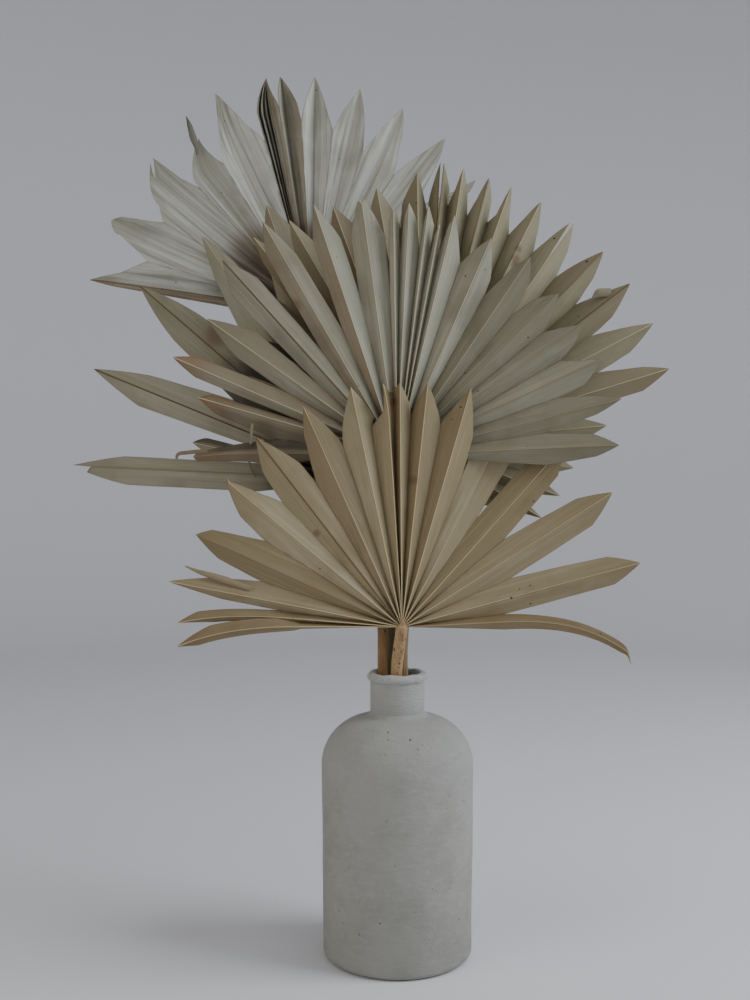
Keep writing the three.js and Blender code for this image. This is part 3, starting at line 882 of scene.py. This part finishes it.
def fan_edges(blades, edges):
    """The rays that bound the blades, and the radius at which each pair of blades parts. The last
    radius is where the outer edge of the last blade leaves its ray."""
    angles, radii = [edges[0]], []
    for here, after in zip(blades, blades[1:]):
        share = here["width"] / (here["width"] + after["width"])
        shared = here["angle"] + (after["angle"] - here["angle"]) * share
        angles.append(here["edge"] or shared)
        radii.append(here["split"] * min(here["length"], after["length"]))
    end = blades[-1]
    return [*angles, edges[1]], [radii[0], *radii, end["split"] * end["length"]]


def pleat_rise(sector):
    """How high a pleat rises for each metre of radius."""
    half = math.tan(math.radians(sector / 2))
    rise = math.sqrt(max(PLEAT_SLOPE**2 - half**2, 0))
    return min(max(rise, FLATTEST_PLEAT), STEEPEST_PLEAT)


def row_stations():
    """Where each row of a blade lies: along the fused part, the free part, or the cut tip."""
    shares = [INNERMOST + (1 - INNERMOST) * (k / FUSED_ROWS) ** ROW_CROWDING for k in range(FUSED_ROWS)]
    fused = [("fused", share) for share in shares]
    free = [("free", k / FREE_ROWS) for k in range(FREE_ROWS)]
    tip = [("tip", k / TIP_ROWS) for k in range(TIP_ROWS + 1)]
    return fused + free + tip


ROWS = row_stations()


def sawtooth(share):
    """0 on each ridge and 1 at the bottom of each gap of a tightly closed fold."""
    return abs((share * TIGHT_FOLDS + 0.5) % 1 - 0.5) * 2


def leaf_grid(columns, rows):
    """A flat grid, with a map and the facts about each point that the finish reads."""
    bpy.ops.object.select_all(action="DESELECT")
    bpy.ops.mesh.primitive_grid_add(x_subdivisions=columns, y_subdivisions=rows, size=2)
    sheet = bpy.context.object
    sheet.data.uv_layers[0].name = "blade"
    for key in FACTS:
        sheet.data.attributes.new(key, "FLOAT", "POINT")
    return sheet, {key: sheet.data.attributes[key] for key in FACTS}


def note(facts, k, **values):
    for key, value in values.items():
        facts[key].data[k].value = value


def torn_strip(stops, burn, shade, to_part):
    """A dry strip that came loose. Each stop is its x, y, z and half its width in millimetres."""
    strip, facts = leaf_grid(STRIP_COLUMNS, STRIP_ROWS)
    places = [Vector(stop[:3]) / 1000 for stop in stops]
    for k, vertex in enumerate(strip.data.vertices):
        share = (vertex.co.y + 1) / 2
        aside = vertex.co.x
        place, way = through(places, share)
        at = min(share * (len(stops) - 1), len(stops) - 1.001)
        here, after = stops[int(at)][3], stops[int(at) + 1][3]
        half = (here + (after - here) * (at % 1)) / 1000
        across_way = Vector((-way.y, way.x, 0)).normalized()
        place += across_way * half * aside + Vector((0, 0, STRIP_CROWN * half * (1 - aside * aside)))
        vertex.co = to_part(*place)
        rim = half * (1 - abs(aside))
        note(facts, k, rim=rim, rib=0.01, reach=0.75, burn=burn, stain=burn, deep=shade)
    return strip


def sew_up(name, sheets):
    """Joins the sheets of a leaf where their edges meet, and gives it its thickness."""
    bpy.ops.object.select_all(action="DESELECT")
    for sheet in sheets:
        sheet.select_set(True)
    bpy.context.view_layer.objects.active = sheets[0]
    bpy.ops.object.join()
    piece = bpy.context.object
    piece.name = f"{name}_fan"
    bpy.ops.object.mode_set(mode="EDIT")
    bpy.ops.mesh.select_all(action="SELECT")
    bpy.ops.mesh.remove_doubles(threshold=2e-6)
    bpy.ops.mesh.normals_make_consistent(inside=False)
    bpy.ops.object.mode_set(mode="OBJECT")
    wall = piece.modifiers.new("sheet", "SOLIDIFY")
    wall.thickness = LEAF_SHEET
    wall.offset = 0
    bpy.ops.object.modifier_apply(modifier="sheet")
    bpy.ops.object.shade_smooth_by_angle(angle=math.radians(35))
    return piece


def make_leaf(name, leaf, hub, edges):
    """Each half of a blade is a grid folded to its place in the fan, and the halves are sewn up."""
    blades = leaf["blades"]
    spread = seeded_spread(leaf["seed"])
    loose = seeded_spread(leaf["seed"] + LOOSE_SEED)
    angles, radii = fan_edges(blades, edges)
    rises = [leaf["fold"] * pleat_rise(b - a) for a, b in zip(angles, angles[1:])]
    last = len(blades) - 1
    lean = math.radians(leaf["lean"])

    def bend_at(i, radius):
        return blades[i]["bend"] * (max(radius, 0) / blades[i]["length"]) ** BEND_POWER

    def hub_fold(radius):
        near = radius / HUB_FOLD_REACH
        return leaf["fold"] * HUB_FOLD * near * math.exp(1 - near)

    def edge_height(j, radius):
        below, above = max(j - 1, 0), min(j, last)
        fold = -(rises[below] + rises[above]) / 4 * radius - hub_fold(radius)
        return fold + (bend_at(below, radius) + bend_at(above, radius)) / 2

    def to_part(x, y, z):
        front = z + leaf["cup"] * (x / CUP_REACH) ** 2
        back = y * math.sin(lean) - front * math.cos(lean)
        up = y * math.cos(lean) + front * math.sin(lean)
        return Vector(hub) + Vector((x, back, up))

    sheets = []
    for i, shape in enumerate(blades):
        direction = math.radians(shape["angle"])
        length = shape["length"]
        rib_radius = (radii[i] + radii[i + 1]) / 2
        free_from = max(radii[i], radii[i + 1])
        drawn = TWIST_SPREAD * next(spread)
        twist = math.radians(drawn if shape["twist"] is None else shape["twist"])
        ragged = [next(spread), next(spread)]
        own = next(loose)
        tone = own if shape["tone"] is None else shape["tone"]
        hook_reach, hook_side = (value / 1000 for value in shape["hook"])
        slit_from = length - shape["slit"] / 1000
        gloom = shape["gloom"] or leaf["gloom"]

        def rib_height(along):
            return rises[i] / 2 * along + hub_fold(along) + bend_at(i, along)

        def placed(along, across):
            free = max(0, (along - free_from) / (length - free_from))
            turn = direction + math.radians(shape["droop"]) * free * free
            if hook_reach:
                across += hook_side * max(0, (along - length + hook_reach) / hook_reach) ** 2
            x = along * math.cos(turn) - across * math.sin(turn)
            y = along * math.sin(turn) + across * math.cos(turn)
            return x, y, across * math.sin(twist) * free

        for side in (0, 1):
            j = i + side
            sign = 2 * side - 1
            tight = shape["tight"][side]
            columns = EVEN_COLUMNS if tight else COLUMNS
            offset = math.radians(angles[j] - shape["angle"])
            notch_along = radii[j] * math.cos(offset)
            notch_across = radii[j] * math.sin(offset)
            drop = rib_height(notch_along) - edge_height(j, radii[j])
            if shape["shoulders"][side]:
                back, out = (value / 1000 for value in shape["shoulders"][side])
            else:
                back = leaf["cut"] + RAGGED_CUT * ragged[side]
                free_length = length - back - notch_along
                taper = min(max(free_length / TAPER_REACH, LEAST_TAPER), 1)
                out = abs(notch_across) * (1 - BLADE_TAPER * taper)
            shoulder = Vector((max(length - back, notch_along + SHORTEST_EDGE), out * sign))
            tip_back, tip_out = (value / 1000 for value in shape["tips"][side])
            tip = Vector((length - tip_back, tip_out * sign))
            rib_end = length - back
            crown = CROWN + CROWN_SPREAD * next(loose)
            phase = 3 * next(loose)

            def rib_at(along):
                """How far the rib has swung aside at a place along it, beyond a slit."""
                if not shape["slit"] or along <= slit_from:
                    return 0
                return tip.y * (along - slit_from) / (tip.x - slit_from)

            def point(row, share):
                """The place of a point, and its distances from the rib, the edge and the hub."""
                zone, t = ROWS[row]
                if zone == "fused":
                    rib = t * rib_radius
                    edge = t * radii[j]
                    edge_x = edge * math.cos(direction + offset)
                    edge_y = edge * math.sin(direction + offset)
                    x = rib * math.cos(direction) * (1 - share) + edge_x * share
                    y = rib * math.sin(direction) * (1 - share) + edge_y * share
                    z = rib_height(rib) * (1 - share) + edge_height(j, edge) * share
                    along, half = rib, abs(t * notch_across)
                else:
                    steep = 1 + (shape["steep"] - 1) * (min(t / STEEP_FROM, 1) if zone == "free" else 1)
                    if zone == "free":
                        rib_along = rib_radius + (rib_end - rib_radius) * t
                        edge_along = notch_along + (shoulder.x - notch_along) * t
                        ripple = EDGE_RIPPLE * math.sin(t * 9 + phase) * t * (1 - t)
                        edge_across = notch_across + (shoulder.y - notch_across) * t ** shape["flare"]
                        edge_across *= 1 + ripple + EDGE_BULGE * t * (1 - t)
                    else:
                        rib_along = rib_end + (tip.x - rib_end) * t
                        edge_along = shoulder.x + (tip.x - shoulder.x) * t
                        full = shape["round"][side] * t * (1 - t) * TIP_FULLNESS
                        edge_across = shoulder.y + (tip.y - shoulder.y) * t + shoulder.y * full
                    rib_across = rib_at(rib_along)
                    along = rib_along + (edge_along - rib_along) * share
                    across = rib_across + (edge_across - rib_across) * share
                    x, y, z = placed(along, across)
                    half = abs(edge_across)
                    narrow = half / abs(notch_across)
                    z += rib_height(along) - drop * steep * min(narrow, WIDEST_FOLD) * share
                room = share * (1 - share) * 4 * ramp(along, 0, CROWN_GROWN)
                z += crown * half * room / 2
                groove = math.sin(share * GROOVE_TURN + side) * ramp(along, length, length - GROOVE_FADING)
                z += leaf["grooves"] * groove * room
                gap = sawtooth(share) if tight else 0
                z -= tight * gap * ramp(along, 0, TIGHT_GROWN) * ramp(half, 0, TIGHT_HALF)
                z += RIB_HEIGHT * math.exp(-((share * half / RIB_HALF) ** 2)) * ramp(along, 0, RIB_GROWN)
                # deep is painted shade: how far a point lies in shade in the gap of a tight fold, near the
                # hub, in a fold set dark, and within the leaf's shaded reach of the hub.
                deep = gap * ramp(along, 0, 0.03) + share**2 * ramp(along, HUB_SHADE, 0)
                fold_dark = shape["dark"][side] * min(share * 2.2, 1) * ramp(along, 0, 0.06)
                deep += fold_dark * ramp(along, *FOLD_SHADE)
                deep += leaf["dimness"] * ramp(along, gloom, 0.6 * gloom)
                return to_part(x, y, z), share * half, (1 - share) * half, along, deep

            sheet, facts = leaf_grid(len(columns) - 1, len(ROWS) - 1)
            stain = shape["stain"][side]
            alike = {"tone": tone, "own": own, "burn": shape["burn"], "stain": stain, "vein": shape["vein"]}
            flat = []
            for k, vertex in enumerate(sheet.data.vertices):
                column = round((vertex.co.x + 1) / 2 * (len(columns) - 1))
                row = round((vertex.co.y + 1) / 2 * (len(ROWS) - 1))
                vertex.co, from_rib, from_rim, along, deep = point(row, columns[column])
                flat.append((from_rib * MAP_SCALE * sign + MAP_RIB, along))
                note(facts, k, rim=from_rim, rib=from_rib, reach=along / length, deep=deep, **alike)
            for loop in sheet.data.loops:
                sheet.data.uv_layers["blade"].uv[loop.index].vector = flat[loop.vertex_index]
            if side == 0:
                sheet.data.flip_normals()
            sheets.append(sheet)
    sheets += [torn_strip(stops, burn, shade, to_part) for stops, burn, shade in leaf["shreds"]]
    return sew_up(name, sheets)


# The dried leaf is straw-coloured, with long fine fibres, paler along the rib, browner at its cut
# and its edges, and freckled here and there. Shade is painted on it as well: dark brown in the gaps
# of its folds and near the hub, brown shadows of the fans in front, and a band beside the rib.
# Each leaf has a colour of its own for the ground, the pale fibres, the brown fibres and the rib.
LEAF_COLOURS = {
    "front": (0xA49774, 0xC0B597, 0x7A6845, 0xD6C69C),
    "middle": (0xA39F88, 0xC2C2B3, 0x6F6850, 0xD0C9AE),
    "right": (0x9F977A, 0xBAB59C, 0x736A4C, 0xD0C6A2),
    "left": (0x9C967E, 0xB4B09C, 0x746950, 0xC2BBA0),
    "top": (0xB5B4A6, 0xDDDFD7, 0x6D6C56, 0xD8D4C0),
}
LEAF_BROWN = 0x7B6240
BURNT_EDGE = 0x84603A
VEIN_BROWN = 0x4C3B29
PAINTED_GAP_SHADE = 0x2E2A1E
SMUDGE_AND_SHADOW_BROWN = 0x6A4C34
FRECKLE_BROWN = 0x3A2A1C
SPECK_BROWN = 0x2E2016


def leaf_finish(name, leaf):
    ground, pale, brown, rib_colour = LEAF_COLOURS[name]
    paint = Paint(f"{name}_dry_leaf")
    flat = paint.node("ShaderNodeUVMap", {"uv_map": "blade"}, {})
    across, along = paint.part(flat, "X"), paint.part(flat, "Y")
    facts = {key: paint.node("ShaderNodeAttribute", {"attribute_name": key}, {}, "Fac") for key in FACTS}
    tone, own, rim, reach, rib = (facts[key] for key in ("tone", "own", "rim", "reach", "rib"))
    fibres = paint.noise(paint.vector(across * 160, along * 14, own * 7), 1, 3, 0.65)
    veins = paint.noise(paint.vector(across * 560, along * 8, own * 9), 1, 2, 0.5)
    streaks = paint.noise(paint.vector(across * leaf["furrows"], along * 6, own * 5 + 3), 1, 2)
    sheen = paint.noise(paint.vector(across * 9, along * 22, own * 11), 1, 2)
    spot = paint.coordinates("Object")
    cloud = paint.noise(spot, 22, 3)
    freckle = (1 - paint.from_dot(spot, 95).step(0.05, 0.11)) * paint.noise(spot, 31, 1).step(0.6, 0.66)
    burnt = facts["burn"] * (reach.step(0.7, 0.98) + 0.5 - 0.5 * rim.step(0.0003, 0.002)) * cloud
    front = 1 - paint.part(paint.coordinates("Normal"), "Y").step(-0.1, 0)
    # Painted shade: the depth in shade noted on the points, mottled and painted dark brown on the front
    # faces only.
    gloom = (facts["deep"] * (0.6 + 0.8 * cloud)).step(0.1, 0.8) * (0.12 + 0.88 * front)
    coats = [
        (fibres.step(0.42, 0.75) * 0.7, pale),
        (sheen.step(0.5, 0.8) * 0.5, pale),
        (cloud.step(0.5, 0.75) * 0.5, brown),
        # A blade's tone makes it paler or browner all over. It is drawn at random, or set in the blade
        # tables, where it also stands in for the light and shade on that blade: painted light and shade.
        ((tone * 0.5 + 0.5).step(0, 1.3) * 0.35, pale),
        ((0.5 - tone * 0.5).step(0, 1.3) * 0.65, brown),
        (streaks.step(0.5, 0.75) * leaf["streaks"] * 0.38, brown),
        ((1 - streaks.step(0.25, 0.45)) * leaf["streaks"] * 0.4, pale),
        # Brown over whole facets: partly real staining, partly painted shade on facets turned from the light
        # and in dark gaps.
        (facts["stain"] * (0.45 + 0.4 * cloud), LEAF_BROWN),
        (reach.step(0.7, 1.05) * 0.4, brown),
        (burnt.step(0, 0.8) * 0.75, BURNT_EDGE),
        ((1 - rim.step(0.0001, 0.0006)) * 0.5, LEAF_BROWN),
        # A brown band along both sides of the rib: painted shade of the raised rib, stronger where the rib
        # is darker.
        ((1 - rib.step(0.0004, 0.0011)) * (0.4 + 0.4 * facts["vein"]), LEAF_BROWN),
        ((1 - rib.step(0.0001, 0.0004)) * 0.8, paint.mix(facts["vein"], rib_colour, VEIN_BROWN)),
        (gloom * 0.88, PAINTED_GAP_SHADE),
    ]
    # Smudges are partly real brown stains and partly painted shadows cast by the fans in front, laid on the
    # front faces only.
    for x, z, radius in leaf["smudges_and_shadows"]:
        smudge_and_shadow = 1 - paint.from_line(spot, x, z).step(radius * 0.2, radius)
        coats.append((smudge_and_shadow * front * (0.35 + 0.5 * fibres), SMUDGE_AND_SHADOW_BROWN))
    coats.append((freckle * 0.8, FRECKLE_BROWN))
    for x, z, radius in leaf["specks"]:
        speck = 1 - paint.from_line(spot, x, z).step(radius * 0.6, radius * 1.3)
        coats.append((speck * 0.9, SPECK_BROWN))
    relief = paint.relief(
        (veins, 0.4, 0.0003),
        (fibres, 0.35, 0.0006),
        (streaks, 0.4 * leaf["streaks"], 0.0014),
        (sheen, 0.3, 0.003),
    )
    paint.give(Base_Color=paint.coated(ground, coats), Roughness=0.48 + 0.3 * fibres, Normal=relief)
    return paint.material


for name, leaf in LEAVES.items():
    fan = make_leaf(name, leaf, FRONDS[name]["hub"], FRONDS[name]["edges"])
    fan.data.materials.append(leaf_finish(name, leaf))
    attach(fan, "root")
    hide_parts(f"{name}_leaf")


# Plain soft studio light: a large cool window light from the right and above, a weak warm one
# from the left, one from above, and a pale surround.
SURROUND_COLOUR = (0.80, 0.85, 0.93, 1)
SURROUND_STRENGTH = 0.13


def softbox(name, place, aim, side, power, colour):
    lamp = bpy.data.lights.new(name, "AREA")
    lamp.shape = "RECTANGLE"
    lamp.size, lamp.size_y = side, side
    lamp.energy = power
    lamp.color = colour
    box = bpy.data.objects.new(name, lamp)
    box.location = place
    box.rotation_euler = (Vector(aim) - Vector(place)).to_track_quat("-Z", "Y").to_euler()
    box.visible_camera = False
    bpy.context.scene.collection.objects.link(box)


softbox("window_light", (1.6, -0.35, 1.35), (0, 0, 0.4), 1.1, 27, (0.90, 0.95, 1.0))
softbox("left_light", (-1.6, -0.9, 1.0), (0, 0, 0.5), 1.2, 7, (1.0, 0.91, 0.76))
softbox("top_light", (0.3, -0.2, 2.2), (0, 0.1, 0), 1.6, 9, (0.97, 0.98, 1.0))

world = bpy.data.worlds.new("surround")
world.use_nodes = True
background = world.node_tree.nodes["Background"]
background.inputs["Color"].default_value = SURROUND_COLOUR
background.inputs["Strength"].default_value = SURROUND_STRENGTH
bpy.context.scene.world = world
